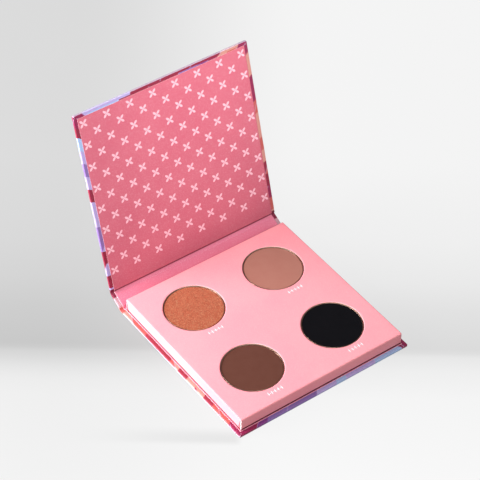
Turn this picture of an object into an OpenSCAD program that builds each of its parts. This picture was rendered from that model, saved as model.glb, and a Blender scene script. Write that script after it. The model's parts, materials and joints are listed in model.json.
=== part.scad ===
// Four-pan eyeshadow palette: a card tray in a paper-covered book case.
// Units are millimetres. The case lies on z = 0, its front edge faces -Y,
// and x = y = 0 is the middle of the tray. It is drawn open, part way back.

/* [Tray] */
// Side of the square tray
tray_side = 82; // [78:1:96]
// Height of the tray above the case lining
tray_h = 6.1; // [5.5:0.1:9]
// Paper covering the tray
tray_paper = 0.15; // [0.1:0.05:0.2]
// Thickness of the tray's floor card and top card
tray_card = 1.0; // [0.8:0.1:1.2]
// Width of the paper turned in under the tray
tray_turn_in = 6; // [4:1:10]

/* [Pans] */
// Outside diameter of a pan at its rim
pan_d = 25.7; // [22:0.1:27]
// Distance between neighbouring pan centres
pan_pitch = 41; // [38:0.5:46]
// Sheet thickness of a pan
pan_wall = 0.3; // [0.2:0.05:0.4]
// Gap between a pan's rim and the hole in the top card
pan_gap = 0.3; // [0.1:0.05:0.4]
// How far a pan's rim sits below the top of the tray
rim_recess = 0.2; // [0.1:0.05:1]
// How far the pressed powder sits below the rim
powder_recess = 0.15; // [0.1:0.05:0.8]
// Diameter of the glue dot under a pan
glue_d = 14; // [8:1:20]

/* [Case] */
// How far the case stands out past the tray at the sides and front
overhang = 2.0; // [1:0.5:5]
// Greyboard in the base, spine and lid
board_t = 0.95; // [0.8:0.05:2]
// Outer paper that wraps the boards and is turned in over their edges
wrap_t = 0.12; // [0.1:0.01:0.2]
// Inner lining paper
liner_t = 0.11; // [0.1:0.01:0.2]
// Margin of turned-in outer paper left showing round the lining
liner_margin = 1.7; // [1:0.1:4]
// Width of the outer paper turned in over the boards
case_turn_in = 12; // [8:1:18]

/* [Folds] */
// Gap between neighbouring boards, which the papers bridge
crease_gap = 2.9; // [2.8:0.1:4]
// Gap between the tray's back wall and the middle of the base crease
crease_back = 1.3; // [1.3:0.05:2]
// Gap between the closed lid and the top of the tray
closed_gap = 0.14; // [0.1:0.02:0.6]
// Angle of the spine above the table as drawn
spine_angle = 27; // [5:1:60]
// Angle of the lid above the table as drawn
lid_angle = 74; // [65:1:110]

/* [Closure] */
// Diameter of a disc magnet
magnet_d = 6; // [4:0.5:8]
// Thickness of a magnet in the tray
magnet_t = 1.0; // [0.5:0.1:1.5]
// Thickness of a magnet in the lid board
lid_magnet_t = 0.8; // [0.4:0.1:0.9]
// Distance of a magnet's centre from the tray's side and front
magnet_inset = 5; // [4:0.5:7]

/* [Hidden] */

// Case: stack of paper and board, and the two fold lines in the paper's plane
turn_t = wrap_t;
case_t = wrap_t + board_t + turn_t + liner_t;
case_half = tray_side / 2 + overhang;
half_gap = crease_gap / 2;
bend_steps = 12;
hinge_y = tray_side / 2 + crease_back;
hinge_z = wrap_t;
spine_pitch = case_t + tray_h + closed_gap + case_t - 2 * hinge_z;
spine_len = spine_pitch - crease_gap;
lid_end = hinge_y + case_half;
case_corner_r = 0.6;

// Tray: heights of its layers
tray_base_z = case_t;
floor_z = tray_base_z + tray_paper;
core_z = floor_z + tray_card;
deck_top_z = tray_base_z + tray_h - tray_paper;
deck_z = deck_top_z - tray_card;
tray_corner_r = 0.5;

// Pans: a rolled rim a little wider than the body
glue_t = 0.15;
pan_z = core_z + glue_t;
pan_h = tray_base_z + tray_h - rim_recess - pan_z;
rim_r = pan_d / 2;
rim_h = 0.5;
body_r = rim_r - 0.15;
pan_base_r = 0.8;
powder_h = pan_h - pan_wall - powder_recess;
powder_ease = 0.12;
powder_slope = 0.9;
hole_r = rim_r + pan_gap;

magnet_x = tray_side / 2 - magnet_inset;
pocket_gap = 0.05;
$fn = 96;

// A plate from y0 to y1 with its two front corners (and back ones too, if asked) rounded
module plate(half_x, y0, y1, z0, z1, r, round_back = false) {
    back_y = round_back ? y1 - r : y1;
    translate([0, 0, z0]) linear_extrude(z1 - z0) union() {
        translate([-half_x, y0 + r]) square([2 * half_x, back_y - y0 - r]);
        translate([-half_x + r, y0]) square([2 * (half_x - r), y1 - y0]);
        for (s = [-1, 1]) {
            translate([s * (half_x - r), y0 + r]) circle(r, $fn = 24);
            if (round_back) translate([s * (half_x - r), y1 - r]) circle(r, $fn = 24);
        }
    }
}

// A plain block between two heights
module block(half_x, y0, y1, z0, z1) {
    translate([-half_x, y0, z0]) cube([2 * half_x, y1 - y0, z1 - z0]);
}

// Folded places. In each, y = 0 is the fold line, y runs away from it along the board,
// and z = 0 is the plane where the outer paper meets the boards.
module on_base_fold() {
    translate([0, hinge_y, hinge_z]) children();
}

module on_spine() {
    on_base_fold() rotate([spine_angle, 0, 0]) children();
}

module on_lid_fold() {
    on_spine() translate([0, spine_pitch, 0]) children();
}

module on_lid() {
    on_lid_fold() rotate([lid_angle - spine_angle, 0, 0]) children();
}

// Sets a cover board drawn for the base in the lid's place, its free edge at the top
module as_lid() {
    on_lid() translate([0, 0, -hinge_z]) mirror([0, 1, 0]) children();
}

// Outer paper of a cover board: under it, up its three free edges and turned in on top.
// The board runs from y0 (free edge) to y1 (crease), and z = 0 is the paper's outer face.
module cover_wrap(y0, y1) {
    difference() {
        plate(case_half, y0, y1, 0, wrap_t + board_t + turn_t, case_corner_r);
        plate(case_half - wrap_t, y0 + wrap_t, y1 + 1, wrap_t, wrap_t + board_t, case_corner_r - wrap_t);
        block(case_half - case_turn_in, y0 + case_turn_in, y1 + 1, wrap_t, case_t);
    }
}

module cover_board(y0, y1) {
    plate(case_half - wrap_t, y0 + wrap_t, y1, wrap_t, wrap_t + board_t, case_corner_r - wrap_t);
}

// Lining paper: its edges lie on the turned-in paper and its middle is bedded on the board
module cover_liner(y0, y1) {
    block(case_half - liner_margin, y0 + liner_margin, y1, case_t - liner_t, case_t);
    block(case_half - case_turn_in, y0 + case_turn_in, y1, wrap_t + board_t, case_t - liner_t);
}

// Crease papers are drawn as side profiles, (y, z) pairs with y = 0 on the fold line.
// Radius that carries the paper across a crease gap while it turns by angle.
function crease_r(angle) = half_gap / tan(angle / 2);

// Points along the bend at a radius r, from angle a0 to a1
function bend(angle, r, a0, a1) = [
    for (i = [0:bend_steps]) let (a = a0 + (a1 - a0) * i / bend_steps)
        [r * sin(a) - half_gap, crease_r(angle) - r * cos(a)]
];

// The same point on the far board, which is turned up by angle
function turned(angle, y, z) = [y * cos(angle) - z * sin(angle), y * sin(angle) + z * cos(angle)];

module profile_along_x(half_x, points) {
    rotate([90, 0, 90]) translate([0, 0, -half_x]) linear_extrude(2 * half_x) polygon(points);
}

// Outer paper across a crease
module crease_wrap(angle) {
    profile_along_x(case_half, concat(
        bend(angle, crease_r(angle) + wrap_t, 0, angle),
        bend(angle, crease_r(angle), angle, 0)
    ));
}

// Lining across a crease: down one board's end, along the outer paper and up the next
module crease_liner(angle) {
    leg_top = case_t - hinge_z - liner_t;
    inner_r = crease_r(angle) - liner_t;
    inset = asin(liner_t / inner_r);
    profile_along_x(case_half - liner_margin, concat(
        [[-half_gap, leg_top]],
        bend(angle, crease_r(angle), 0, angle),
        [turned(angle, half_gap, leg_top), turned(angle, half_gap - liner_t, leg_top)],
        bend(angle, inner_r, angle - inset, inset),
        [[liner_t - half_gap, leg_top]]
    ));
}

// Places something at one pan's centre: column is -1 or 1 (right), row is -1 or 1 (back)
module at_pan(column, row) {
    translate([column * pan_pitch / 2, row * pan_pitch / 2, 0]) children();
}

module at_pans() {
    for (column = [-1, 1], row = [-1, 1]) at_pan(column, row) children();
}

module at_magnets() {
    for (s = [-1, 1]) translate([s * magnet_x, -magnet_x, 0]) children();
}

// Base of the case
module base_board() { color("#8d8378") cover_board(-case_half, hinge_y - half_gap); }
module base_wrap() { color("#a0406e") cover_wrap(-case_half, hinge_y - half_gap); }
module base_liner() { color("#e27389") cover_liner(-case_half, hinge_y - half_gap); }
module base_crease_wrap() { color("#8f2f62") on_base_fold() crease_wrap(spine_angle); }
module base_crease_liner() { color("#c9637a") on_base_fold() crease_liner(spine_angle); }

// Spine of the case
module spine_sheet(half_x, z0, z1) {
    on_spine() block(half_x, half_gap, spine_pitch - half_gap, z0 - hinge_z, z1 - hinge_z);
}

module spine_board() { color("#8d8378") spine_sheet(case_half - wrap_t, wrap_t, wrap_t + board_t); }

module spine_wrap() {
    color("#a0406e") difference() {
        spine_sheet(case_half, 0, wrap_t + board_t + turn_t);
        on_spine() block(case_half - wrap_t, 0, spine_pitch, wrap_t - hinge_z, wrap_t + board_t - hinge_z);
        on_spine() block(case_half - case_turn_in, 0, spine_pitch, wrap_t - hinge_z, case_t);
    }
}

module spine_liner() {
    color("#ee8096") {
        spine_sheet(case_half - liner_margin, case_t - liner_t, case_t);
        spine_sheet(case_half - case_turn_in, wrap_t + board_t, case_t - liner_t);
    }
}

module lid_crease_wrap() { color("#8f2f62") on_lid_fold() crease_wrap(lid_angle - spine_angle); }
module lid_crease_liner() { color("#c9637a") on_lid_fold() crease_liner(lid_angle - spine_angle); }

// Lid of the case; its board has two pockets for the magnets, open to the inside
lid_magnet_y = hinge_y + magnet_x;

module at_lid_magnets() {
    for (s = [-1, 1]) translate([s * magnet_x, -lid_magnet_y, wrap_t + board_t - lid_magnet_t]) children();
}

module lid_board() {
    color("#8d8378") as_lid() difference() {
        cover_board(-lid_end, -half_gap);
        at_lid_magnets() cylinder(d = magnet_d + 2 * pocket_gap, h = lid_magnet_t + 1);
    }
}

module lid_wrap() { color("#a0406e") as_lid() cover_wrap(-lid_end, -half_gap); }
module lid_liner() { color("#e4768c") as_lid() cover_liner(-lid_end, -half_gap); }

module lid_magnets() {
    color("#b9bcc2") as_lid() at_lid_magnets() cylinder(d = magnet_d, h = lid_magnet_t);
}

// Tray
module tray_layer(z0, z1) {
    half = tray_side / 2 - tray_paper;
    plate(half, -half, half, z0, z1, tray_corner_r - tray_paper, round_back = true);
}

module tray_mounting_sheet() {
    half = tray_side / 2 - tray_turn_in;
    color("#e8e4dc") block(half, -half, half, tray_base_z, floor_z);
}

module tray_floor() { color("#9a9088") tray_layer(floor_z, core_z); }

module tray_core() {
    color("#a39a90") difference() {
        tray_layer(core_z, deck_z);
        at_pans() translate([0, 0, core_z - 1]) cylinder(r = hole_r, h = tray_h);
        at_magnets() translate([0, 0, deck_z - magnet_t])
            cylinder(d = magnet_d + 2 * pocket_gap, h = magnet_t + 1);
    }
}

module tray_deck() {
    color("#9a9088") difference() {
        tray_layer(deck_z, deck_top_z);
        at_pans() translate([0, 0, deck_z - 1]) cylinder(r = hole_r, h = tray_h);
    }
}

// Covering paper: over the top, down the walls and turned in under the floor
module tray_wrap() {
    half = tray_side / 2;
    under = half - tray_turn_in;
    color("#fbaab8") difference() {
        plate(half, -half, half, tray_base_z, tray_base_z + tray_h, tray_corner_r, round_back = true);
        tray_layer(floor_z, deck_top_z);
        block(under, -under, under, tray_base_z - 1, floor_z + 1);
        at_pans() translate([0, 0, deck_z]) cylinder(r = hole_r, h = tray_h);
    }
}

module tray_magnets() {
    color("#b9bcc2") at_magnets() translate([0, 0, deck_z - magnet_t]) cylinder(d = magnet_d, h = magnet_t);
}

// Pans: a drawn metal cup with a rounded base and a rolled rim
module cup_profile() {
    difference() {
        union() {
            square([body_r - pan_base_r, pan_h]);
            translate([0, pan_base_r]) square([body_r, pan_h - pan_base_r]);
            intersection() {
                translate([body_r - pan_base_r, pan_base_r]) circle(pan_base_r, $fn = 32);
                square([body_r, pan_base_r]);
            }
            translate([0, pan_h - rim_h]) square([rim_r, rim_h]);
        }
        translate([0, pan_wall]) square([body_r - pan_wall, pan_h]);
    }
}

module pan() {
    color("#d9c9a8") translate([0, 0, pan_z]) rotate_extrude() cup_profile();
}

// Pressed powder: it fills the cup to just under the rim, its top edge eased by the press
module powder(shade) {
    cake_r = body_r - pan_wall;
    color(shade) translate([0, 0, pan_z + pan_wall]) rotate_extrude() polygon([
        [0, 0], [cake_r, 0], [cake_r, powder_h - powder_ease],
        [cake_r - powder_slope, powder_h], [0, powder_h]
    ]);
}

module pan_glue_dots() {
    color("#efe9d8") at_pans() translate([0, 0, core_z]) cylinder(d = glue_d, h = glue_t);
}

module pan_back_left() { at_pan(-1, 1) pan(); }
module pan_back_right() { at_pan(1, 1) pan(); }
module pan_front_left() { at_pan(-1, -1) pan(); }
module pan_front_right() { at_pan(1, -1) pan(); }

module powder_back_left() { at_pan(-1, 1) powder("#c77350"); }
module powder_back_right() { at_pan(1, 1) powder("#bc7a6c"); }
module powder_front_left() { at_pan(-1, -1) powder("#7d4d46"); }
module powder_front_right() { at_pan(1, -1) powder("#17151a"); }

base_board();
base_wrap();
base_liner();
base_crease_wrap();
base_crease_liner();
tray_mounting_sheet();
tray_floor();
tray_core();
tray_deck();
tray_wrap();
pan_back_left();
pan_back_right();
pan_front_left();
pan_front_right();
powder_back_left();
powder_back_right();
powder_front_left();
powder_front_right();
pan_glue_dots();
tray_magnets();
spine_board();
spine_wrap();
spine_liner();
lid_crease_wrap();
lid_crease_liner();
lid_board();
lid_wrap();
lid_liner();
lid_magnets();
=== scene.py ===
import bpy
import bmesh
import json
import math
import numpy as np
from mathutils import Matrix, Vector


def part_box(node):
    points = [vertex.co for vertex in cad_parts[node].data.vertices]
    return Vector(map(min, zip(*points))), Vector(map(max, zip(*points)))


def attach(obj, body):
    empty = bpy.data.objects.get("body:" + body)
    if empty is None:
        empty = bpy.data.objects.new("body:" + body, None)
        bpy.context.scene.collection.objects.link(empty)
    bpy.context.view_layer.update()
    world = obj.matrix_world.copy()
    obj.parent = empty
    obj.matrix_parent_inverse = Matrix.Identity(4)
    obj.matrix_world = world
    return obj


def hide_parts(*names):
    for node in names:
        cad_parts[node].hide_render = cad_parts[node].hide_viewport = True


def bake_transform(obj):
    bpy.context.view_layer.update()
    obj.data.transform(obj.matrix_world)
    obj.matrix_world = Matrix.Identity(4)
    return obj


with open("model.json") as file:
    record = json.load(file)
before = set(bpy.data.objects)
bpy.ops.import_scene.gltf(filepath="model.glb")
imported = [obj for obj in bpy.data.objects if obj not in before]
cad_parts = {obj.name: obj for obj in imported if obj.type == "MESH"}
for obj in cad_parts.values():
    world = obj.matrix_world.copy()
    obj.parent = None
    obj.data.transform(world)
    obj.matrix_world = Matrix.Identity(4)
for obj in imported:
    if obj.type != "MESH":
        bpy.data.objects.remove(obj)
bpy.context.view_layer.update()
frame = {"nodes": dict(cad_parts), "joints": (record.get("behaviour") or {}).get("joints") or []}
print("frame loaded:", len(frame["nodes"]), "nodes")

mm = 0.001
joints = {joint["name"]: joint for joint in frame["joints"]}


# A node's lowest and highest corners, in millimetres.
def boxOf(node):
    low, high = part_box(node)
    return np.array(low) / mm, np.array(high) / mm


foldA = np.array(joints["spine_hinge"]["pos_m"])[1:] / mm   # (y, z) of the base crease
foldB = np.array(joints["lid_hinge"]["pos_m"])[1:] / mm     # (y, z) of the lid crease
spineTurn = math.radians(joints["spine_hinge"]["range_deg"][1])
lidTurn = spineTurn + math.radians(joints["lid_hinge"]["range_deg"][1])
spinePitch = float(np.hypot(*(foldB - foldA)))

trayLow, trayHigh = boxOf("tray_wrap")
trayHalf = trayHigh[0]
wrapHigh = boxOf("base_wrap")[1]
linerHigh = boxOf("base_liner")[1]
boardLow = boxOf("base_board")[0]
panLow, panHigh = boxOf("pan_back_right")

caseHalf = wrapHigh[0]
wrapThick = boardLow[2]                  # outer paper; also the fold lines' height
wrapTop = wrapHigh[2] - wrapThick        # turned-in paper, above the fold plane
linerTop = linerHigh[2] - wrapThick      # lining, above the fold plane
linerThick = linerTop - wrapTop
linerHalf = linerHigh[0]
linerMargin = caseHalf - linerHalf
halfGap = foldA[0] - wrapHigh[1]         # from a fold line to the boards beside it
coverEnd = foldA[0] + caseHalf           # from a fold line to the cover's free edge
panX = (panLow[0] + panHigh[0]) / 2      # the pans' middles lie this far from both centre lines
holeRadius = 13.15                       # in the tray's paper, 0.3 past a pan's rim


# A board's own frame: s runs from the fold line along the board, n is its height above the
# fold plane. The y and z of a point come from turning (s, n) by the board's slope.
slopes = {"spine": (foldA, spineTurn), "lid": (foldB, lidTurn)}


def onBoard(board, x, s, n):
    if board == "base":   # the same board given a half turn about z
        return np.stack([-x, foldA[0] - s, foldA[1] + n], -1)
    fold, turn = slopes[board]
    y = fold[0] + s * math.cos(turn) - n * math.sin(turn)
    z = fold[1] + s * math.sin(turn) + n * math.cos(turn)
    return np.stack([x + 0 * y, y, z], -1)


# Where a point of a board lies on the papers unrolled flat, from the base crease backwards.
def onFlat(board, u, s):
    if board == "base":
        return np.stack([-u, -s, 0 * s], -1)
    return np.stack([u, s + (spinePitch if board == "lid" else 0), 0 * s], -1)


# A point in a crease: t runs 0 to 1 along an arc that leaves the first board along its
# slope and meets the second along its own, and n is the height above that arc.
def inCrease(fold, slope, bend, x, t, n):
    radius = halfGap / math.tan(bend / 2)
    angle = t * bend
    s = (radius - n) * np.sin(angle) - halfGap
    h = radius - (radius - n) * np.cos(angle)
    y = fold[0] + s * math.cos(slope) - h * math.sin(slope)
    z = fold[1] + s * math.sin(slope) + h * math.cos(slope)
    return np.stack([x + 0 * y, y, z], -1)


def smooth(t):
    t = np.clip(t, 0, 1)
    return t * t * (3 - 2 * t)


# A repeatable uneven field: a few sine waves of seeded direction and phase, averaged.
def unevenness(a, b, seed, length, count=7):
    rng = np.random.default_rng(seed)
    total = 0 * (a + b)
    for wave in range(count):
        way = rng.uniform(0, 2 * math.pi)
        step = 2 * math.pi / (length * rng.uniform(0.6, 1.7))
        total = total + np.sin((a * math.cos(way) + b * math.sin(way)) * step + rng.uniform(0, 6.3))
    return total / count


# Points from a to b, packed towards both ends.
def eased(a, b, count):
    t = np.linspace(0, 1, count)
    return a + (b - a) * (t - 0.75 * np.sin(2 * math.pi * t) / (2 * math.pi))


weld = 0.002   # points closer than this, in millimetres, become one


# Grids of points (rows x columns x 3, in millimetres) become one mesh of quads. Each cell
# faces along its column step crossed with its row step. Doubles are merged, so that seams
# and poles close, and "flat" keeps each point's place on the unrolled paper.
def makePiece(name, body, material, grids, flats=None):
    verts, quads, offset = [], [], 0
    for grid in grids:
        rows, columns = grid.shape[:2]
        ids = offset + np.arange(rows * columns).reshape(rows, columns)
        cells = [ids[:-1, :-1], ids[:-1, 1:], ids[1:, 1:], ids[1:, :-1]]
        quads.append(np.stack(cells, -1).reshape(-1, 4))
        verts.append(grid.reshape(-1, 3))
        offset += rows * columns
    mesh = bpy.data.meshes.new(name)
    mesh.from_pydata((np.concatenate(verts) * mm).tolist(), [], np.concatenate(quads).tolist())
    if flats is not None:
        layer = mesh.attributes.new("flat", "FLOAT_VECTOR", "POINT")
        flat = np.concatenate([f.reshape(-1, 3) for f in flats])
        layer.data.foreach_set("vector", flat.reshape(-1).astype(np.float32))
    edit = bmesh.new()
    edit.from_mesh(mesh)
    bmesh.ops.remove_doubles(edit, verts=edit.verts, dist=weld * mm)
    bmesh.ops.dissolve_degenerate(edit, edges=edit.edges, dist=weld * mm / 2)
    edit.to_mesh(mesh)
    edit.free()
    mesh.polygons.foreach_set("use_smooth", np.ones(len(mesh.polygons), bool))
    mesh.materials.append(material)
    piece = bpy.data.objects.new(name, mesh)
    bpy.context.scene.collection.objects.link(piece)
    if body:
        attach(piece, body)
    return piece


# Gives a sheet its thickness below the surface drawn, with its cut edges in edgeMaterial.
def thicken(piece, thickness, edgeMaterial=None):
    wall = piece.modifiers.new("thickness", "SOLIDIFY")
    wall.thickness = thickness * mm
    wall.offset = -1
    wall.use_even_offset = True
    if edgeMaterial is not None:
        piece.data.materials.append(edgeMaterial)
        wall.material_offset_rim = 1
    return piece


# A web colour code as linear red, green, blue and alpha.
def colour(code):
    values = [int(code[k:k + 2], 16) / 255 for k in (1, 3, 5)]
    return [v / 12.92 if v <= 0.04045 else ((v + 0.055) / 1.055) ** 2.4 for v in values] + [1.0]


class Wire:
    # one output socket: sums on it add Math nodes
    def __init__(self, paint, socket):
        self.paint = paint
        self.socket = socket

    def also(self, output):
        return Wire(self.paint, self.socket.node.outputs[output])

    def maths(self, operation, *values):
        return self.paint.add("ShaderNodeMath", {"operation": operation}, dict(enumerate(values)))

    def __add__(self, other):
        return self.maths("ADD", self, other)

    def __radd__(self, other):
        return self.maths("ADD", other, self)

    def __sub__(self, other):
        return self.maths("SUBTRACT", self, other)

    def __rsub__(self, other):
        return self.maths("SUBTRACT", other, self)

    def __mul__(self, other):
        return self.maths("MULTIPLY", self, other)

    def __rmul__(self, other):
        return self.maths("MULTIPLY", other, self)

    def __truediv__(self, other):
        return self.maths("DIVIDE", self, other)

    def __pow__(self, other):
        return self.maths("POWER", self, other)

    def __abs__(self):
        return self.maths("ABSOLUTE", self)

    def __gt__(self, other):
        return self.maths("GREATER_THAN", self, other)

    def __lt__(self, other):
        return self.maths("LESS_THAN", self, other)

    def floor(self):
        return self.maths("FLOOR", self)

    def least(self, other):
        return self.maths("MINIMUM", self, other)

    def most(self, other):
        return self.maths("MAXIMUM", self, other)

    def step(self, low, high):
        # 0 at low, 1 at high, eased between
        return self.paint.add("ShaderNodeMapRange", {"interpolation_type": "SMOOTHSTEP"},
                              {"Value": self, "From Min": low, "From Max": high})

    def ramp(self, stops, interpolation="LINEAR"):
        return self.paint.add("ShaderNodeValToRGB", {"stops": stops, "between": interpolation}, {0: self})


class Paint:
    # a material's node tree, ending in one principled shader
    def __init__(self, name, **constants):
        self.material = bpy.data.materials.new(name)
        self.material.use_nodes = True
        self.tree = self.material.node_tree
        self.shader = next(n for n in self.tree.nodes if n.type == "BSDF_PRINCIPLED")
        for socket, value in constants.items():
            self.shader.inputs[socket.replace("_", " ")].default_value = value

    def add(self, kind, settings=None, values=None, output=0):
        node = self.tree.nodes.new(kind)
        for key, value in (settings or {}).items():
            if key == "stops":
                while len(node.color_ramp.elements) > 1:
                    node.color_ramp.elements.remove(node.color_ramp.elements[0])
                node.color_ramp.elements[0].position = value[0][0]
                for place, tint in value[1:]:
                    node.color_ramp.elements.new(place)
                for element, (place, tint) in zip(node.color_ramp.elements, value):
                    element.position = place
                    element.color = colour(tint)
            elif key == "between":
                node.color_ramp.interpolation = value
            else:
                setattr(node, key, value)
        for key, value in (values or {}).items():
            self.feed(node.inputs[key], value)
        return Wire(self, node.outputs[output])

    def feed(self, socket, value):
        if isinstance(value, Wire):
            self.tree.links.new(value.socket, socket)
        else:
            socket.default_value = value

    def set(self, **values):
        for socket, value in values.items():
            self.feed(self.shader.inputs[socket.replace("_", " ")], value)

    def place(self):
        # the point on the object, in millimetres
        point = self.add("ShaderNodeTexCoord", output="Object")
        return self.add("ShaderNodeVectorMath", {"operation": "SCALE"}, {0: point, "Scale": 1000.0})

    def flat(self):
        # the point on the unrolled paper, in millimetres: across, along
        point = self.add("ShaderNodeAttribute", {"attribute_name": "flat"}, output="Vector")
        return self.add("ShaderNodeSeparateXYZ", None, {0: point})

    def noise(self, where, size, detail=2.0, roughness=0.5):
        # patches about as wide as size, in millimetres
        return self.add("ShaderNodeTexNoise", None, {
            "Vector": where, "Scale": 1 / size, "Detail": detail, "Roughness": roughness}, "Fac")

    def mix(self, factor, a, b):
        # colour a, turning to b as factor goes from 0 to 1
        return self.add("ShaderNodeMix", {"data_type": "RGBA", "clamp_factor": True},
                        {0: factor, 6: a, 7: b}, output=2)

    def bump(self, height, distance, strength):
        # height from 0 to 1 stands for distance, in millimetres
        self.set(Normal=self.add("ShaderNodeBump", None, {
            "Height": height, "Distance": distance * mm, "Strength": strength}))
        return self


# Smooth coated paper: faint clouding between two shades and a fine fibre.
def paperPaint(name, shades, roughness, fibreSize=0.3, relief=0.012, clouds=16.0):
    paint = Paint(name, IOR=1.46, Specular_IOR_Level=0.22)
    where = paint.place()
    fibre = paint.noise(where, fibreSize, 4.0, 0.62)
    cloud = paint.noise(where, clouds, 2.0).step(0.3, 0.7)
    tone = paint.mix(cloud, colour(shades[0]), colour(shades[1]))
    tone = paint.mix(0.10 * fibre.step(0.45, 0.7), tone, colour("#FFFFFF"))
    paint.set(Base_Color=tone, Roughness=roughness - 0.06 + 0.12 * fibre)
    return paint.bump(fibre, relief, 0.6), tone


# The lid lining's print: small four-petalled flowers on a staggered lattice. Each petal is
# an ellipse set out along a diagonal, and a dot marks the middle.
motif = {
    "pitch": (11.146, 9.97),   # across and along the lid
    "first": 10.8,             # from the lid's fold line to a row
    "clear": 8.4,              # left plain past the fold line
    "reach": 1.22,             # from a flower's middle to a petal's
    "petal": (0.95, 0.5),      # half a petal's length and width
    "dot": 0.32,
    "soft": (0.85, 1.15),      # where the ink's edge fades
    "ink": "#F4BFCC",
}

# Shade painted on the linings: a thin line at the lid's fold and, on the printed one, a wide
# soft shade. Both go by the distance above the lid board's lower edge.
foldTone = {
    "lid": 0.17, "reach": (-4.0, 16.0), "colour": "#3A0A14",
    "crease": 0.8, "from": (-0.95, -0.6), "to": (0.05, 0.45), "creaseColour": "#4E0C1E",
}

# Shade painted on the base lining, under the tray and close round it. It fades out between
# two distances inside the lining's right and front edges and inside the tray's left wall.
trayShade = {
    "strength": 0.85, "colour": "#3C0612",
    "right": (0.06, 0.02), "front": (0.4, 0.34), "left": (0.4, 0.2),
    "behind": (-1.6, -1.4),    # along the unrolled paper, short of the base crease
}


def trayShadow(x, y):
    frontEdge = foldA[0] + linerHalf
    right = x.step(linerHalf - trayShade["right"][0], linerHalf - trayShade["right"][1])
    left = (0 - x).step(trayHalf - trayShade["left"][0], trayHalf - trayShade["left"][1])
    front = (0 - y).step(frontEdge - trayShade["front"][0], frontEdge - trayShade["front"][1])
    onBase = 1 - y.step(*trayShade["behind"])
    return trayShade["strength"] * onBase * (1 - right.most(left).most(front))


def flowerMask(x, y):
    diagonalA = (abs(x) + abs(y)) / math.sqrt(2)
    diagonalB = (abs(x) - abs(y)) / math.sqrt(2)
    petal = ((diagonalA - motif["reach"]) / motif["petal"][0]) ** 2 + (diagonalB / motif["petal"][1]) ** 2
    dot = (x ** 2 + y ** 2) / motif["dot"] ** 2
    return 1 - petal.least(dot).step(*motif["soft"])


def liningPaint(name, shades, printed):
    paint, tone = paperPaint(name, shades, 0.62, fibreSize=0.4, relief=0.014, clouds=24.0)
    flat = paint.flat()
    above = flat.also("Y") - (spinePitch + halfGap)   # from the lid board's lower edge
    if printed:
        wide = foldTone["lid"] * (1 - above.step(*foldTone["reach"]))
        tone = paint.mix(wide, tone, colour(foldTone["colour"]))
    fold = above.step(*foldTone["from"]) * (1 - above.step(*foldTone["to"]))
    tone = paint.mix(foldTone["crease"] * fold, tone, colour(foldTone["creaseColour"]))
    tone = paint.mix(trayShadow(flat, flat.also("Y")), tone, colour(trayShade["colour"]))
    paint.set(Base_Color=tone)
    if not printed:
        return paint.material
    across = flat / motif["pitch"][0]
    along = (flat.also("Y") - (spinePitch + motif["first"])) / motif["pitch"][1]
    masks = []
    for lead in (0.0, 0.5):   # the two sets of the stagger
        column = across + lead
        row = along + lead
        x = (column - column.floor() - 0.5) * motif["pitch"][0]
        y = (row - (row + 0.5).floor()) * motif["pitch"][1]
        masks.append(flowerMask(x, y))
    mask = masks[0].most(masks[1]) * (flat.also("Y") > spinePitch + motif["clear"])
    wear = paint.noise(paint.place(), 0.5, 2.0).step(0.25, 0.5)
    paint.set(Base_Color=paint.mix(mask * (0.8 + 0.2 * wear), tone, colour(motif["ink"])))
    return paint.material


# The tray's paper: as the others, with painted shade, a dark line along the foot of its walls.
trayFootShade = {"height": (0.8, 1.1), "strength": 0.94, "colour": "#36040E"}


def trayPaint(name, shades):
    paint, tone = paperPaint(name, shades, 0.58)
    height = paint.add("ShaderNodeSeparateXYZ", None, {0: paint.place()}).also("Z")
    # painted shade: darker along the foot of the walls
    full, none = trayFootShade["height"]
    foot = trayFootShade["strength"] * (1 - height.step(trayLow[2] + full, trayLow[2] + none))
    paint.set(Base_Color=paint.mix(foot, tone, colour(trayFootShade["colour"])))
    return paint.material


# The outer paper's print: long slanted, staggered blocks. A block's colour is drawn by chance
# about a place on the scale below, which drifts over the sheet from warm to cool.
blocks = {
    "size": (15.0, 6.0),
    "slant": 0.55,
    "stagger": 0.37,             # of a block, from one row to the next
    "edge": 0.03,                # of a block, the pale seam at each end
    "seam": (0.35, "#C7B8DC"),
    "spread": (0.34, 0.12),      # how far chance moves the colour, and at the base's free edge
    "crimson": (0.34, "#8A0F34"),    # the share of the lid's blocks that are this colour
    "pearl": (0.17, "#F1E6F2"),
}
coverScale = [(0.0, "#8E2238"), (0.1, "#BC544F"), (0.22, "#C9897E"), (0.34, "#8A1046"), (0.43, "#78327C"),
              (0.53, "#8265A4"), (0.64, "#AC9DD0"), (0.8, "#9DB4DC")]
spineScale = [(0.0, "#BC544F"), (0.25, "#BF929C"), (0.62, "#7E1236")]   # from the base crease to the lid's

# How the place on the scale runs: its start and its change across the case, from 0 at the left
# to 1 at the right. Distances are in millimetres on the unrolled paper.
printDrift = {
    "base": (0.18, 0.46),
    "front": (0.36, 0.72, 0.46),    # along the base's free edge: start, rise and most rise
    "frontFrom": (72, 84),
    "lid": (0.77, 0.51),            # start and fall
    "lidFall": (10, 42),
    "lidFrom": (-2, 3),
    "pastSpine": (2, 2.5),          # the spine's colours reach this far past its two fold lines
}
corners = {"colour": "#8A1046", "lidAcross": (38, 39), "lidAlong": (88, 89),
           "baseRight": (39.5, 40), "baseLeft": (35.5, 36), "baseAlong": (77, 78)}

# Walls painted pale, a painted highlight on the base's left wall and the lid's free edge: how far past the
# edge it ends, and how pale it is.
paleWallHighlight = {"colour": "#DCD3EA", "from": 0.1, "base": (0.55, 0.9), "lid": (1.1, 0.6)}


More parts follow.
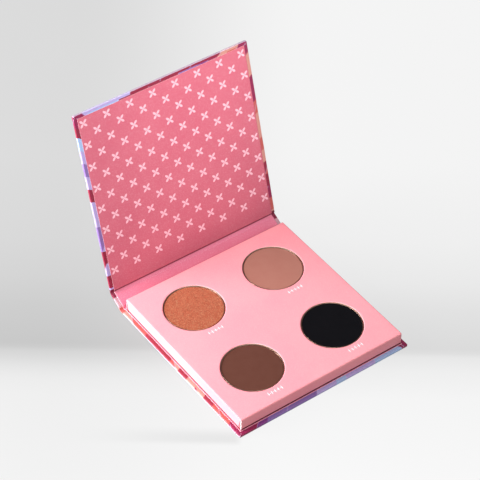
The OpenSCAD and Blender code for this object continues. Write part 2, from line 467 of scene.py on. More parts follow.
def coverPaint():
    paint = Paint("coverPaper", Coat_Roughness=0.2, IOR=1.5, Specular_IOR_Level=0.3)
    flat = paint.flat()
    x, y = flat, flat.also("Y")
    row = (y / blocks["size"][1]).floor()
    column = (x + blocks["slant"] * y) / blocks["size"][0] + row * blocks["stagger"]
    third = ((3 * column).floor() + 0.5) / 3 - row * blocks["stagger"]
    middle = third * blocks["size"][0] - blocks["slant"] * blocks["size"][1] * (row + 0.5)
    across = (middle + caseHalf) / (2 * caseHalf)   # the same all over a third of a block
    front = (0 - y).step(*printDrift["frontFrom"])   # 1 along the base's free edge
    start, rise, most = printDrift["front"]
    free = start + (rise * across).least(most)
    base = front * free + (1 - front) * (printDrift["base"][0] + printDrift["base"][1] * across)
    lid = printDrift["lid"][0] - printDrift["lid"][1] * middle.step(*printDrift["lidFall"])
    onLid = y.step(*printDrift["lidFrom"])
    cell = paint.add("ShaderNodeCombineXYZ", None, {0: column.floor(), 1: row})
    pick = paint.add("ShaderNodeTexWhiteNoise", {"noise_dimensions": "2D"}, {"Vector": cell})
    other = paint.add("ShaderNodeTexWhiteNoise", {"noise_dimensions": "3D"}, {"Vector": cell})
    spread = blocks["spread"][0] + (blocks["spread"][1] - blocks["spread"][0]) * front
    place = onLid * lid + (1 - onLid) * base + spread * (pick - 0.5)
    tone = place.ramp(coverScale, "CONSTANT")
    share, crimson = blocks["crimson"]
    tone = paint.mix(onLid * (other < share), tone, colour(crimson))
    lidCorners = onLid * abs(x).step(*corners["lidAcross"]) * y.step(*corners["lidAlong"])
    baseSides = x.step(*corners["baseRight"]).most((0 - x).step(*corners["baseLeft"]))
    baseCorners = baseSides * (0 - y).step(*corners["baseAlong"])
    tone = paint.mix(lidCorners.most(baseCorners), tone, colour(corners["colour"]))
    before, past = printDrift["pastSpine"]
    overSpine = (y > -before) * (y < spinePitch + past)
    alongSpine = (y + before) / (spinePitch + before + past)
    tone = paint.mix(overSpine, tone, alongSpine.ramp(spineScale, "CONSTANT"))
    # a painted highlight: pale on the base's left wall and the lid's free edge
    pastBase = (0 - x) - caseHalf
    pastLid = y - (spinePitch + coverEnd)
    wallBase = (pastBase > paleWallHighlight["from"]) * (pastBase < paleWallHighlight["base"][0]) * (y < -before)
    wallLid = (pastLid > paleWallHighlight["from"]) * (pastLid < paleWallHighlight["lid"][0])
    pale = (paleWallHighlight["base"][1] * wallBase).most(paleWallHighlight["lid"][1] * wallLid)
    tone = paint.mix(pale, tone, colour(paleWallHighlight["colour"]))
    part = column - column.floor()
    sheet = paint.add("ShaderNodeCombineXYZ", None, {0: x, 1: y})
    seam = 1 - part.step(0.0, blocks["edge"]) * (1 - part.step(1 - blocks["edge"], 1.0))
    pearl = paint.noise(sheet, 0.3, 3.0, 0.6)
    tone = paint.mix(blocks["seam"][0] * seam, tone, colour(blocks["seam"][1]))
    tone = paint.mix(blocks["pearl"][0] * pearl.step(0.5, 0.78), tone, colour(blocks["pearl"][1]))
    drift = paint.noise(sheet, 26.0, 1.0)
    paint.set(Base_Color=tone, Metallic=0.1 * pearl, Roughness=0.42 + 0.14 * pearl,
              Coat_Weight=0.08 + 0.1 * drift)
    return paint.bump(paint.noise(sheet, 1.4, 3.0), 0.012, 0.5).material


# Grey pasteboard or pale card: short fibres and flecks of darker pulp.
def boardPaint(name, shades, flecks):
    paint = Paint(name, Roughness=0.9, IOR=1.4)
    where = paint.place()
    fibre = paint.noise(where, 0.25, 5.0, 0.7)
    fleck = paint.noise(where, 0.6, 1.0).step(0.66, 0.72)
    tone = paint.mix(fibre.step(0.3, 0.7), colour(shades[0]), colour(shades[1]))
    paint.set(Base_Color=paint.mix(flecks * fleck, tone, colour("#6E6A66")), Roughness=0.82 + 0.14 * fibre)
    return paint.bump(fibre, 0.03, 0.7).material


# Metal: a fine even grain and faint handling marks.
def metalPaint(name, shades, roughness):
    paint = Paint(name, Metallic=1.0)
    where = paint.place()
    grain = paint.noise(where, 0.18, 4.0, 0.6)
    smear = paint.noise(where, 3.0, 2.0).step(0.35, 0.7)
    tone = paint.mix(smear, colour(shades[0]), colour(shades[1]))
    paint.set(Base_Color=tone, Roughness=roughness + 0.12 * smear + 0.08 * grain)
    return paint.bump(grain, 0.004, 0.5).material


# Dried glue: milky, uneven and slightly glossy.
def gluePaint():
    paint = Paint("glue", IOR=1.48)
    where = paint.place()
    swirl = paint.noise(where, 1.6, 3.0)
    paint.set(Base_Color=paint.mix(swirl, colour("#E9E4D6"), colour("#D6CDB8")),
              Roughness=0.25 + 0.2 * swirl)
    return paint.bump(swirl, 0.08, 0.6).material


# Pressed powder: a packed grain in three shades. With shimmer above nothing, small flakes
# catch the light as bright, metallic, tilted facets.
def powderPaint(name, shades, shimmer=0.0, roughness=0.85, patch=4.0):
    paint = Paint(name, IOR=1.4, Specular_IOR_Level=0.12)
    where = paint.place()
    grain = paint.noise(where, 0.16, 3.0, 0.7)
    patches = paint.noise(where, patch, 3.0, 0.6).step(0.25, 0.75)
    tone = paint.mix(patches, colour(shades[0]), colour(shades[1]))
    tone = paint.mix((0.55 if shimmer else 0.35) * grain.step(0.5, 0.75), tone, colour(shades[2]))
    height = 0.92 * grain + 0.08 * patches
    if shimmer:
        flake = paint.add("ShaderNodeTexVoronoi", None, {"Vector": where, "Scale": 3.4}, "Color")
        glint = paint.add("ShaderNodeSeparateXYZ", None, {0: flake})
        lit = glint.step(0.72, 0.86)
        tone = paint.mix(shimmer * lit, tone, colour(shades[3]))
        tone = paint.mix(shimmer * 0.6 * glint.also("Y").step(0.8, 0.9), tone, colour(shades[4]))
        paint.set(Metallic=shimmer * (0.25 + 0.6 * lit), Roughness=roughness - 0.2 * lit)
        height = 0.35 * grain + 0.3 * patches + 0.35 * glint.also("Z")
    else:
        paint.set(Roughness=roughness - 0.05 + 0.1 * grain)
    paint.set(Base_Color=tone)
    return paint.bump(height, 0.05 + 0.05 * shimmer, 0.8).material


# Screen-printed ink: white with a little of the paper's pink in it.
def inkPaint():
    paint = Paint("printInk", IOR=1.5)
    where = paint.place()
    cover = paint.noise(where, 0.25, 3.0)
    tone = paint.mix(cover.step(0.35, 0.6), colour("#FADEE3"), colour("#FDE9EC"))
    paint.set(Base_Color=tone, Roughness=0.35 + 0.15 * cover)
    return paint.bump(cover, 0.006, 0.5).material


trayPaper = trayPaint("trayPaper", ("#FC98A3", "#FD9DA6"))
# A darker copy of the tray's paper for the corner tabs: painted shade.
tabPaperShaded = trayPaint("trayTabPaperShaded", ("#DC5F68", "#E0666E"))
liningPlain = liningPaint("liningPaper", ("#DC7791", "#E17E98"), False)
# The lid's lining: the same paper as the plain one, its ground painted darker as painted shade for the
# dimmer light on the lid, with the print over it.
liningPrinted = liningPaint("liningPrinted", ("#CC6276", "#D0687B"), True)
coverPaper = coverPaint()
paperCore = boardPaint("paperCore", ("#F6F2EE", "#FFFDFA"), 0.05)
trayCard = boardPaint("trayCard", ("#BD9C89", "#C9AB99"), 0.3)
greyboard = boardPaint("greyboard", ("#9A958C", "#B4AEA4"), 0.5)
panMetal = metalPaint("panMetal", ("#A88A7A", "#957868"), 0.2)
magnetPlate = metalPaint("magnetPlate", ("#BFC1C4", "#A9ACB0"), 0.28)
glue = gluePaint()
printInk = inkPaint()
print("materials made")


# The case's outer paper, in millimetres.
cover = {
    "foot": 0.35,         # radius where the outer face turns up
    "lip": 0.3,           # radius where it turns in
    "corner": 0.6,        # plan radius of the two free corners
    "turnIn": 12.0,       # width of the turned-in strip
    "wander": (0.03, 3.0, 9.0),  # how far the pressed edge strays, how far in, and over what length
    "rows": (40, 7, 48),  # stations along a side, round a corner, along the free edge
}


# The section of the outer paper at an edge: d is the inset from the edge, n the height above
# the fold plane and e the run of paper past the edge. The outer face comes from the middle,
# a quarter circle turns it up, another turns it in, and a strip runs back to turnIn.
def edgeSection(top):
    q = np.linspace(0, math.pi / 2, 6)
    scale = (top + wrapThick) / (wrapTop + wrapThick)
    foot = cover["foot"] * scale
    lip = cover["lip"] * scale
    wall = top - lip - (foot - wrapThick)
    face = np.linspace(0, 1, 22)[:-1] ** 0.6
    back = np.linspace(0, 1, 14)[1:] ** 1.5
    d = [caseHalf + (foot - caseHalf) * face, foot * (1 - np.sin(q)), lip * (1 - np.cos(q)),
         lip + (cover["turnIn"] - lip) * back]
    n = [0 * foot * face - wrapThick, foot * (1 - np.cos(q)) - wrapThick,
         top - lip * (1 - np.sin(q)), top + 0 * back]
    e = [-d[0], foot * (q - 1), 0 * q + foot * (math.pi / 2 - 1) + wall + lip * q, None]
    e[3] = e[2][:, -1:] + d[3] - lip
    return [np.concatenate(part, 1) for part in (d, n, e)]


# A base or lid board's paper: the section is carried up one side, round the free edge and
# back, with its inset mitred at the corners.
def boardCover(name, board, replaced):
    d, n, e = edgeSection(np.array([[wrapTop]]))
    side, bend, end = cover["rows"]
    t = np.linspace(0, 1, side)
    a = np.linspace(0, math.pi / 2, bend)
    b = eased(-1, 1, end)
    kx = np.concatenate([0 * t - 1, 0 * a - 1, b, 0 * a + 1, 0 * t + 1])[:, None]
    ks = np.concatenate([t, 0 * a + 1, 0 * b + 1, 0 * a + 1, t[::-1]])[:, None]
    nx = np.concatenate([0 * t - 1, -np.cos(a), 0 * b, np.sin(a), 0 * t + 1])[:, None]
    ns = np.concatenate([0 * t, np.sin(a), 0 * b + 1, np.cos(a), 0 * t])[:, None]

    def plan(inset):
        straight = np.maximum(inset, cover["corner"])
        curve = np.maximum(cover["corner"] - inset, 0)
        u = kx * (caseHalf - straight) + nx * curve
        return u, halfGap + ks * (coverEnd - straight - halfGap) + ns * curve

    u, s = plan(d)
    far, reach, length = cover["wander"]
    stray = far * unevenness(u, s, 11, length) * smooth(1 - d / reach)
    piece = makePiece(name, board, coverPaper, [onBoard(board, u - nx * stray, s - ns * stray, n + 0 * u)],
                      [onFlat(board, *plan(-e))])
    thicken(piece, wrapThick, paperCore)
    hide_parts(replaced)


# The paper round both ends of the spine or a crease: the right end's section backwards, then
# the left end's, for each station along the strip.
def stripCover(top):
    d, n, e = edgeSection(top)
    u = np.concatenate([(caseHalf - d)[:, ::-1], (d - caseHalf)[:, 1:]], 1)
    across = np.concatenate([(caseHalf + e)[:, ::-1], (-caseHalf - e)[:, 1:]], 1)
    return u, np.concatenate([n[:, ::-1], n[:, 1:]], 1), across


crease = {
    "rows": 41,
    "dip": {"base": 0.72, "lid": 0.55},           # how far the lining sinks into a crease
    "base": (0.36, 0.36), "lid": (0.84, 0.06),    # where its slopes end, from each side
    "pucker": (0.07, 37.0, 4.0, 2.2),             # height, start from the middle, run, wave length
    "follow": 0.18,                               # part of each end that keeps to its board
}


# How far the papers sink at t through a crease: a smooth slope down from each side.
def sink(which, t):
    first, second = crease[which]
    return crease["dip"][which] * smooth(t / first) * smooth((1 - t) / second)


def creaseEnds(fold, slope, bend):
    t = np.array([0.0, 1.0])
    first, last = inCrease(fold, slope, bend, 0 * t, t, 0 * t)
    lead = (last - first) * crease["follow"]
    return tuple((first + lead) * mm), tuple((last - lead) * mm)


# A crease's outer paper and lining: the strip and a plain sheet, each on the crease's arc,
# both sunk by the same amount. The lining also puckers a little towards its ends.
def creasePapers(which, fold, slope, bend, flatStart):
    t = np.linspace(0, 1, crease["rows"])[:, None]
    start, end = creaseEnds(fold, slope, bend)
    depth = sink(which, t)
    u, n, across = stripCover(wrapTop - depth)
    along = flatStart + 2 * halfGap * t + 0 * u
    outer = makePiece(which + "_crease_cover", None, coverPaper, [inCrease(fold, slope, bend, u, t, n)],
                      [np.stack([across, along, 0 * u], -1)])
    thicken(outer, wrapThick, paperCore)
    x = eased(-linerHalf, linerHalf, 90)[None, :]
    high, fromMiddle, run, waves = crease["pucker"]
    pucker = smooth((abs(x) - fromMiddle) / run) * smooth(4 * t * (1 - t))
    n = linerTop - depth + high * pucker * unevenness(x, 8 * t, 5, waves)
    inner = makePiece(which + "_crease_lining", None, liningPlain, [inCrease(fold, slope, bend, x, t, n)],
                      [np.stack([x + 0 * t, flatStart + 2 * halfGap * t + 0 * x, 0 * n], -1)])
    thicken(inner, linerThick, paperCore)
    for piece, paper in ((outer, "wrap"), (inner, "liner")):
        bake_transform(piece)
        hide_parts(which + "_crease_" + paper)


boardCover("base_cover", "base", "base_wrap")
boardCover("lid_cover", "lid", "lid_wrap")

s = np.linspace(halfGap, spinePitch - halfGap, 9)[:, None]
u, n, across = stripCover(wrapTop + 0 * s)
spineCover = makePiece("spine_cover", "spine", coverPaper, [onBoard("spine", u, s + 0 * u, n)],
                       [np.stack([across, s + 0 * u, 0 * u], -1)])
thicken(spineCover, wrapThick, paperCore)
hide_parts("spine_wrap")


# The lining papers, in millimetres.
lining = {
    "telegraph": 0.05,         # drop past the end of the turned-in paper beneath
    "ramp": 1.8,               # the width of that drop
    "ripple": (0.012, 26.0),   # height and length
    "edgeDip": (0.02, 0.4),    # how far the cut edges are pressed down, over what width
    "level": 3.0,              # ripples fade this close to a crease
}


# A lining: a sheet over the board that drops a little where the turned-in paper under it
# ends, ripples faintly with the glue, and is pressed down at its cut edges.
def boardLining(name, board, ends, count, replaced, material, turnedIn):
    x = eased(-linerHalf, linerHalf, 96)[None, :]
    s = eased(ends[0], ends[1], count)[:, None]
    inset = caseHalf - abs(x) + 0 * s
    fromCut = linerHalf - abs(x) + 0 * s
    if turnedIn:
        inset = np.minimum(inset, coverEnd - s)
        fromCut = np.minimum(fromCut, ends[1] - s)
    dip, dipWidth = lining["edgeDip"]
    ripple, waves = lining["ripple"]
    rest = smooth((s - ends[0]) / lining["level"])
    if not turnedIn:
        rest = rest * smooth((ends[1] - s) / lining["level"])
    n = linerTop - lining["telegraph"] * smooth((inset - cover["turnIn"]) / lining["ramp"])
    n = n - dip * smooth(1 - fromCut / dipWidth)
    n = n + ripple * rest * unevenness(x, s, 3, waves)
    if turnedIn:   # level with the crease's lining where the two meet
        n = linerTop + (n - linerTop) * rest
    piece = makePiece(name, board, material, [onBoard(board, x + 0 * s, s + 0 * x, n)],
                      [onFlat(board, x + 0 * s, s + 0 * x)])
    thicken(piece, linerThick, paperCore)
    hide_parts(replaced)


boardLining("base_lining", "base", (halfGap, coverEnd - linerMargin), 90, "base_liner", liningPlain, True)
boardLining("lid_lining", "lid", (halfGap, coverEnd - linerMargin), 90, "lid_liner", liningPrinted, True)
boardLining("spine_lining", "spine", (halfGap, spinePitch - halfGap), 12, "spine_liner", liningPlain, False)
creasePapers("base", foldA, 0.0, spineTurn, -halfGap)
creasePapers("lid", foldB, spineTurn, lidTurn - spineTurn, spinePitch - halfGap)
print("case papers made")


# The tray's paper, in millimetres.
tray = {
    "fillet": 0.55,      # radius over the top edge and round the upright corners
    "foot": 0.5,         # radius where it turns under
    "turnIn": 6.0,
    "paper": 0.15,
    "press": (0.12, 0.32),  # how deep and how wide the punch pressed the holes' edges
    "perSide": 26,       # stations along half a side
    "tab": (0.15, 1.5, 0.09),  # corner tabs: width at the top, at the foot, thickness
    "tabFrom": 0.05,     # from the end of the corner's curve
    "tabLift": 0.12,     # from the tray's foot to the tabs
    "rawEdge": (38, 66, 0.03),  # where the raw edge lies round the corner, in degrees, and its lift
    "rawLift": 0.3,      # from the tray's foot to the raw edges
    "bow": (0.025, 17.0, 0.3),  # how far the walls stray, over what length, and how far in
}
trayTop = trayHigh[2]
flatHalf = trayHalf - tray["fillet"]


# Half-side stations from 0 to 1, closer together near the corner.
def halfSide():
    t = np.linspace(0, 1, tray["perSide"] + 1)
    return t + 0.25 * t * (1 - t)


# A quarter of the top: rings between a hole's circle and the quarter's square outline, all
# on the same stations, with the punched edge pressed slightly down.
def trayQuarter(signX, signY):
    h = halfSide() * flatHalf
    sides = [(h * 0 + flatHalf, h), (h[::-1], h * 0 + flatHalf), (h * 0, h[::-1]), (h, h * 0)]
    sides = [np.stack(side, -1) for side in sides]
    square = np.concatenate([sides[0]] + [side[1:] for side in sides[1:]])
    outline = square * np.array([signX, signY])
    if signX * signY < 0:   # keep every quarter running the same way round
        outline = outline[::-1]
    centre = np.array([signX, signY]) * panX
    way = outline - centre
    length = np.hypot(way[:, 0], way[:, 1])[:, None]
    depth, width = tray["press"]
    near = np.array([0, 0.06, 0.12, 0.18, 0.25, 0.34, 0.6, 1.0])
    far = np.linspace(0, 1, 13)[1:]
    firstRings = holeRadius + near[None, :] + 0 * length
    last = firstRings[:, -1:]
    rings = np.concatenate([firstRings, last + (length - last) * far[None, :]], 1)
    unit = way / length
    x = centre[0] + unit[:, :1] * rings
    y = centre[1] + unit[:, 1:] * rings
    z = trayTop - depth * (1 - smooth((rings - holeRadius) / width))
    return np.stack([x, y, z], -1)


# The rim, walls and turned-under strip: one section carried round the tray, its inset from
# the wall mitred at the four corners.
def trayBand():
    q = np.linspace(0, math.pi / 2, 8)
    r, foot = tray["fillet"], tray["foot"]
    down = np.linspace(0, 1, 12)[1:-1]
    under = np.linspace(0, 1, 8)[1:]
    bottom = trayLow[2]
    d = np.concatenate([r * (1 - np.sin(q)), 0 * down, foot * (1 - np.cos(q)),
                        foot + (tray["turnIn"] - foot) * under])
    z = np.concatenate([trayTop - r * (1 - np.cos(q)), trayTop - r + (bottom + foot - trayTop + r) * down,
                        bottom + foot * (1 - np.sin(q)), bottom + 0 * under])
    h = halfSide()
    full = np.concatenate([-h[::-1], h[1:]])
    a = np.linspace(0, math.pi / 2, 9)
    kx, ky, nx, ny = [], [], [], []
    for turn in range(4):   # right side and its corner, then the same turned by quarters
        c, s = round(math.cos(turn * math.pi / 2)), round(math.sin(turn * math.pi / 2))
        px = np.concatenate([0 * full + 1, 0 * a + 1])
        py = np.concatenate([full, 0 * a + 1])
        mx = np.concatenate([0 * full + 1, np.cos(a)])
        my = np.concatenate([0 * full, np.sin(a)])
        kx.append(c * px - s * py)
        ky.append(s * px + c * py)
        nx.append(c * mx - s * my)
        ny.append(s * mx + c * my)
    once = [np.concatenate(k) for k in (kx, ky, nx, ny)]
    kx, ky, nx, ny = [np.append(k, k[0])[:, None] for k in once]   # closed on the first station
    straight = trayHalf - np.maximum(d, r)
    curve = np.maximum(r - d, 0)
    x = kx * straight + nx * curve
    y = ky * straight + ny * curve
    stray, reach, within = tray["bow"]
    wave = stray * unevenness(x + y, z * 2, 21, reach) * (d < within)
    return np.stack([x + nx * wave, y + ny * wave, z + 0 * x], -1)


# A patch made for the corner at +x, +y, mirrored into all four, each facing outwards.
def inFourCorners(x, y, z):
    grids = []
    for signX in (-1, 1):
        for signY in (-1, 1):
            grid = np.stack([signX * x, signY * y, z], -1)
            grids.append(grid if signX * signY > 0 else grid[:, ::-1])
    return grids


# A corner tab: the end of the front or back wall's paper, lapped on to the side wall just
# past the corner and cut to a slant. Rows go down it, columns run along the wall.
def trayTabs():
    top, foot, proud = tray["tab"]
    t = np.linspace(0, 1, 14)[:, None]
    z = trayTop - tray["fillet"] - t * (trayTop - tray["fillet"] - trayLow[2] - tray["tabLift"])
    reach = top + (foot - top) * t
    run = np.linspace(0, 1, 10)[None, :]
    x = trayHalf + proud * smooth(4 * run) + 0 * t
    y = flatHalf - tray["tabFrom"] - run * reach
    return inFourCorners(x, y, z + 0 * x)


# The paper's raw edge down each upright corner, a thin white strip that is also a painted highlight along
# the corner: part of the corner's quarter circle, lifted a little, from the top's curve to the foot.
def cornerEdgesAndHighlight():
    first, last, lift = tray["rawEdge"]
    r = tray["fillet"] + lift
    a = np.radians(np.linspace(first, last, 5))[None, :]
    z = np.linspace(trayTop - tray["fillet"], trayLow[2] + tray["rawLift"], 12)[:, None]
    return inFourCorners(flatHalf + r * np.sin(a) + 0 * z, flatHalf + r * np.cos(a) + 0 * z, z + 0 * a)


trayWrap = makePiece("tray_paper", "base", trayPaper,
                     [trayQuarter(sx, sy) for sx in (-1, 1) for sy in (-1, 1)] + [trayBand()])
thicken(trayWrap, tray["paper"], paperCore)
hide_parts("tray_wrap")
# the corner tabs in the darker copy of the tray's paper: painted shade
tabs = makePiece("tray_corner_tabs", "base", tabPaperShaded, trayTabs())
thicken(tabs, tray["tab"][2])
rawEdges = makePiece("tray_corner_edges", "base", paperCore, cornerEdgesAndHighlight())
thicken(rawEdges, 2 * tray["rawEdge"][2])
print("tray paper made")


# The pans and their powders, in millimetres.
pan = {
    "bead": 0.12,     # radius of the rolled rim
    "inset": 0.13,    # from the rim's outside in to the wall
    "neck": 0.5,      # from the rim's top down to where the wall is upright
    "foot": 0.45,     # radius where the wall meets the floor
    "sides": 192,
}
powder = {
    "gap": 0.02,      # between the powder and its pan
    "edge": 0.14,     # radius of the eased edge
    "rise": 0.03,     # how proud the middle is
    "calm": 0.8,      # how far in from the edge the unevenness starts
    "sides": 240,
    "rings": 44,
}


# A section of (radius, height) pairs spun round an upright axis.
def spun(section, sides, centre):
    a = np.linspace(0, 2 * math.pi, sides + 1)[:, None]
    r, z = section[None, :, 0], section[None, :, 1]
    return np.stack([centre[0] + r * np.cos(a), centre[1] + r * np.sin(a), z + 0 * a], -1)


# A pan's section: along the floor inside, up the wall, over a rolled rim, down the outside
# and back under to the middle.
def panSection(floor, low, high, radius):
    bead, foot = pan["bead"], pan["foot"]
    q = np.linspace(0, math.pi / 2, 7)
    roll = np.linspace(math.pi, 0, 13)
    inside = radius - 2 * bead
    r = np.concatenate([np.linspace(0, inside - foot, 5), inside - foot + foot * np.sin(q),
                        radius - bead + bead * np.cos(roll), np.full(4, radius - pan["inset"]),
                        radius - pan["inset"] - foot * (1 - np.cos(q)), [0.0]])
    z = np.concatenate([np.full(5, floor), floor + foot * (1 - np.cos(q)),
                        high - bead + bead * np.sin(roll), np.linspace(high - pan["neck"], low + foot, 4),
                        low + foot * (1 - np.sin(q)), [low]])
    return np.stack([r, z], -1)


# A pressed powder: a flat disc a little proud at the middle, its edge eased where the die
# left it, with the face's unevenness in the mesh.
def powderGrid(centre, radius, low, high, seed, relief):
    ring = np.linspace(0, 1, powder["rings"]) ** 0.85
    edge = powder["edge"]
    q = np.linspace(0, math.pi / 2, 6)[1:]
    r = np.concatenate([ring * (radius - edge), radius - edge * (1 - np.sin(q)), [radius, 0.0]])
    z = np.concatenate([high + 0 * ring, high - edge * (1 - np.cos(q)), [low, low]])
    grid = spun(np.stack([r, z], -1), powder["sides"], centre)
    x, y = grid[..., 0], grid[..., 1]
    upper = z > (low + high) / 2
    face = smooth((radius - r) / powder["calm"]) * upper
    bulk = powder["rise"] * (1 - (r / radius) ** 2) * upper
    rough = unevenness(x, y, seed, 3.2, 9) + 0.7 * unevenness(x, y, seed + 1, 1.1, 11)
    grid[..., 2] += face * relief * rough + bulk
    return grid


# Each powder's slot, its finish and the height of its unevenness.
copper = powderPaint("powderCopper", ("#AE5A41", "#BB6C4F", "#9C4B32", "#D1A07C", "#783221"),
                     shimmer=0.75, roughness=0.5, patch=1.5)
powders = {
    "back_left": ("powder_copper", copper, 0.035),
    "back_right": ("powder_rose", powderPaint("powderRose", ("#A77063", "#A97366", "#9C675A")), 0.007),
    "front_left": ("powder_brown", powderPaint("powderBrown", ("#5E382E", "#613B31", "#553127")), 0.008),
    "front_right": ("powder_black", powderPaint("powderBlack", ("#07070B", "#09090D", "#0D0D13")), 0.006),
}
for seed, (where, (slotName, paint, relief)) in enumerate(powders.items()):
    low, high = boxOf("pan_" + where)
    powderBase, powderTop = boxOf("powder_" + where)
    centre = (low + high) / 2
    radius = (high[0] - low[0]) / 2
    floor = powderBase[2]
    metal = makePiece("pan_rim_" + where, "base", panMetal,
                      [spun(panSection(floor, low[2], high[2], radius), pan["sides"], centre)])
    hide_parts("pan_" + where)
    pressed = makePiece("pressed_" + where, "base", paint,
                        [powderGrid(centre, radius - 2 * pan["bead"] - powder["gap"], floor, powderTop[2],
                                    40 + 5 * seed, relief)])
    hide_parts("powder_" + where)
print("pans and powders made")


# The printed mark in front of each pan: a plain row of lozenges and dots, in millimetres.
mark = {
    "step": 0.82,
    "count": 4,                # shapes on each side of the middle one
    "lozenge": (0.32, 1.05),   # half its width and height
    "dot": (0.2, 0.2),
    "ink": 0.014,              # how far the ink stands up
    "sunk": 0.004,             # and how far it goes into the paper
    "drop": 15.6,              # forward from the pan's middle
}


# One shape of a mark: rings from its middle to |x/w| + |y/h| = 1, or to an ellipse.
def markShape(x, y, size, lozenge):
    a = np.linspace(0, 2 * math.pi, 25)[:, None]
    reach = 1 / (abs(np.cos(a)) + abs(np.sin(a))) if lozenge else 1 + 0 * a
    ring = np.array([0.0, 0.6, 1.0])[None, :]
    return np.stack([x + size[0] * reach * ring * np.cos(a), y + size[1] * reach * ring * np.sin(a),
                     trayTop + mark["ink"] + 0 * a * ring], -1)


grids = []
for centreX in (-panX, panX):
    for centreY in (-panX, panX):
        for k in range(-mark["count"], mark["count"] + 1):
            lozenge = k % 2 == 0
            size = mark["lozenge"] if lozenge else mark["dot"]
            grids.append(markShape(centreX + k * mark["step"], centreY - mark["drop"], size, lozenge))
marks = makePiece("tray_marks", "base", printInk, grids)
thicken(marks, mark["ink"] + mark["sunk"])
print("marks made")


# Finishes of the CAD parts that stay.
finishes = {
    "greyboard": greyboard, "cover_paper": coverPaper, "lining_paper": liningPlain, "tray_paper": trayPaper,
    "adhesive": glue, "pan_metal": panMetal, "magnet_plate": magnetPlate,
}
cards = ("tray_floor", "tray_core", "tray_deck")
for name, node in frame["nodes"].items():
    for place in node.material_slots:
        slotName = place.material.name.split(".")[0]
        if name in cards:
            place.material = trayCard
        elif slotName in finishes:
            place.material = finishes[slotName]
print("carried-over parts finished")


# The floor: one square a hair below the case, in metres.
ground = {"half": 2.0, "below": 0.0001}
groundCorners = [(x * ground["half"], y * ground["half"], -ground["below"])
                 for x, y in ((-1, -1), (1, -1), (1, 1), (-1, 1))]
floorMesh = bpy.data.meshes.new("floor")
floorMesh.from_pydata(groundCorners, [], [(0, 1, 2, 3)])
floor = bpy.data.objects.new("floor", floorMesh)
bpy.context.scene.collection.objects.link(floor)
viewpoint = {"at": (-346.5, -448.3, 596.2), "azimuth": -36.68, "elevation": -43.9, "roll": 1.0,
             "lens": 147.56}   # millimetres and degrees


# Pale studio floor, lit by its own glow: painted light, brightest near and far, with a soft dark band
# between, and dimmer towards the left.
sweep = {
    "near": 485.0, "far": 795.0, "band": (535.0, 556.0), "left": (-85.0, 35.0), "dim": (0.92, 0.77),
    "shade": 0.125, "shadeNear": (502.0, 505.5), "shadeFar": (506.5, 513.0),
    "shadeAlong": (-70.0, 0.0, -1.0, 3.0),
}
sweepTones = [(0.0, "#F4F4F4"), (0.14, "#F1F1F1"), (0.19, "#EBEBEB"), (0.216, "#E4E4E4"), (0.223, "#DBDBDB"),
              (0.231, "#D7D7D7"), (0.3, "#DEDEDE"), (0.354, "#E6E6E6"), (0.434, "#ECECEC"), (0.6, "#F1F1F1"),
              (1.0, "#F2F2F2")]


def floorPaint():
    paint = Paint("floorPaper", Roughness=1.0, Emission_Strength=1.0, Specular_IOR_Level=0.0)
    point = paint.place()
    where = paint.add("ShaderNodeSeparateXYZ", None, {0: point})
    turn = math.radians(viewpoint["azimuth"])
    x = where - viewpoint["at"][0]
    y = where.also("Y") - viewpoint["at"][1]
    away = y * math.cos(turn) - x * math.sin(turn)
    right = x * math.cos(turn) + y * math.sin(turn)
    tone = ((away - sweep["near"]) / (sweep["far"] - sweep["near"])).ramp(sweepTones)
    beyond = away.step(*sweep["band"])
    dim = sweep["dim"][0] + beyond * (sweep["dim"][1] - sweep["dim"][0])
    shade = dim + (1 - dim) * right.step(*sweep["left"])
    # a soft shade painted on the floor, left of the case's front left corner
    first, full, fading, last = sweep["shadeAlong"]
    along = right.step(first, full) * (1 - right.step(fading, last))
    across = away.step(*sweep["shadeNear"]) * (1 - away.step(*sweep["shadeFar"]))
    shade = shade * (1 - sweep["shade"] * along * across)
    paint.set(Emission_Color=paint.mix(shade, colour("#000000"), tone),
              Base_Color=paint.mix(paint.noise(point, 60.0), colour("#2C2C2C"), colour("#303030")))
    return paint.material


floorMesh.materials.append(floorPaint())
floor.visible_diffuse = False   # its glow is for the view, not to light the object from below

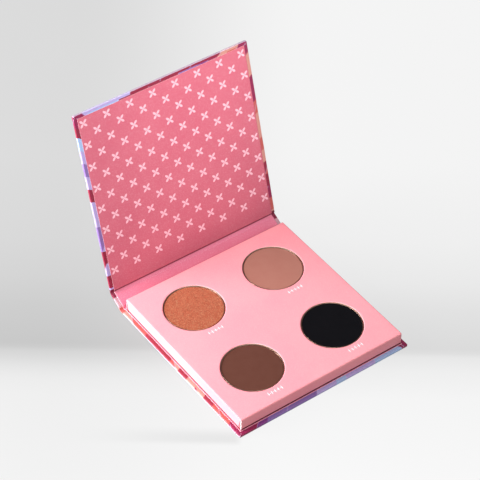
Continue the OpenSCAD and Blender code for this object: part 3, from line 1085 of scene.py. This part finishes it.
# Four soft boxes, each with its place in metres, its width and height and its power in
# watts, and a soft-edged spot that lifts the top of the open lid.
lights = {
    "lowLeft": {"at": (-0.35, 0.0, 0.06), "size": (0.3, 0.12), "watts": 1.14},
    "backLeft": {"at": (-0.3, 0.16, 0.12), "size": (0.2, 0.2), "watts": 2.45},
    "front": {"at": (-0.09, -0.22, 0.33), "size": (0.2, 0.2), "watts": 0.655},
    "overhead": {"at": (0.02, 0.03, 0.24), "size": (0.12, 0.12), "watts": 0.125},
    "lidSpot": {"at": (0.2, -0.95, 0.45), "aim": (0.024, 0.072, 0.082), "cone": 9.5, "soft": 0.05,
                "watts": 27.5},
}
ambient = 0.24
for name, light in lights.items():
    lamp = bpy.data.lights.new(name, "SPOT" if "cone" in light else "AREA")
    lamp.energy = light["watts"]
    if "cone" in light:
        lamp.spot_size = math.radians(light["cone"])
        lamp.spot_blend = 1.0
        lamp.shadow_soft_size = light["soft"]
    else:
        lamp.shape = "RECTANGLE"
        lamp.size, lamp.size_y = light["size"]
    holder = bpy.data.objects.new(name, lamp)
    holder.location = light["at"]
    towards = Vector(light.get("aim", (0, 0, 0.02))) - holder.location
    holder.rotation_euler = towards.to_track_quat("-Z", "Y").to_euler()
    holder.visible_camera = False
    bpy.context.scene.collection.objects.link(holder)

world = bpy.data.worlds.new("studio")
world.use_nodes = True
world.node_tree.nodes["Background"].inputs["Color"].default_value = (1, 1, 1, 1)
world.node_tree.nodes["Background"].inputs["Strength"].default_value = ambient
bpy.context.scene.world = world
bpy.context.scene.view_settings.view_transform = "Standard"

camera = bpy.data.objects.new("camera", bpy.data.cameras.new("camera"))
camera.data.lens = viewpoint["lens"]
camera.data.sensor_width = 36
camera.data.clip_start = 0.01
turned = (Matrix.Rotation(math.radians(viewpoint["azimuth"]), 4, "Z")
          @ Matrix.Rotation(math.radians(90 + viewpoint["elevation"]), 4, "X")
          @ Matrix.Rotation(math.radians(viewpoint["roll"]), 4, "Z"))
camera.matrix_world = Matrix.Translation(Vector(viewpoint["at"]) * mm) @ turned
bpy.context.scene.collection.objects.link(camera)
bpy.context.scene.camera = camera
print("floor, lights and camera placed")
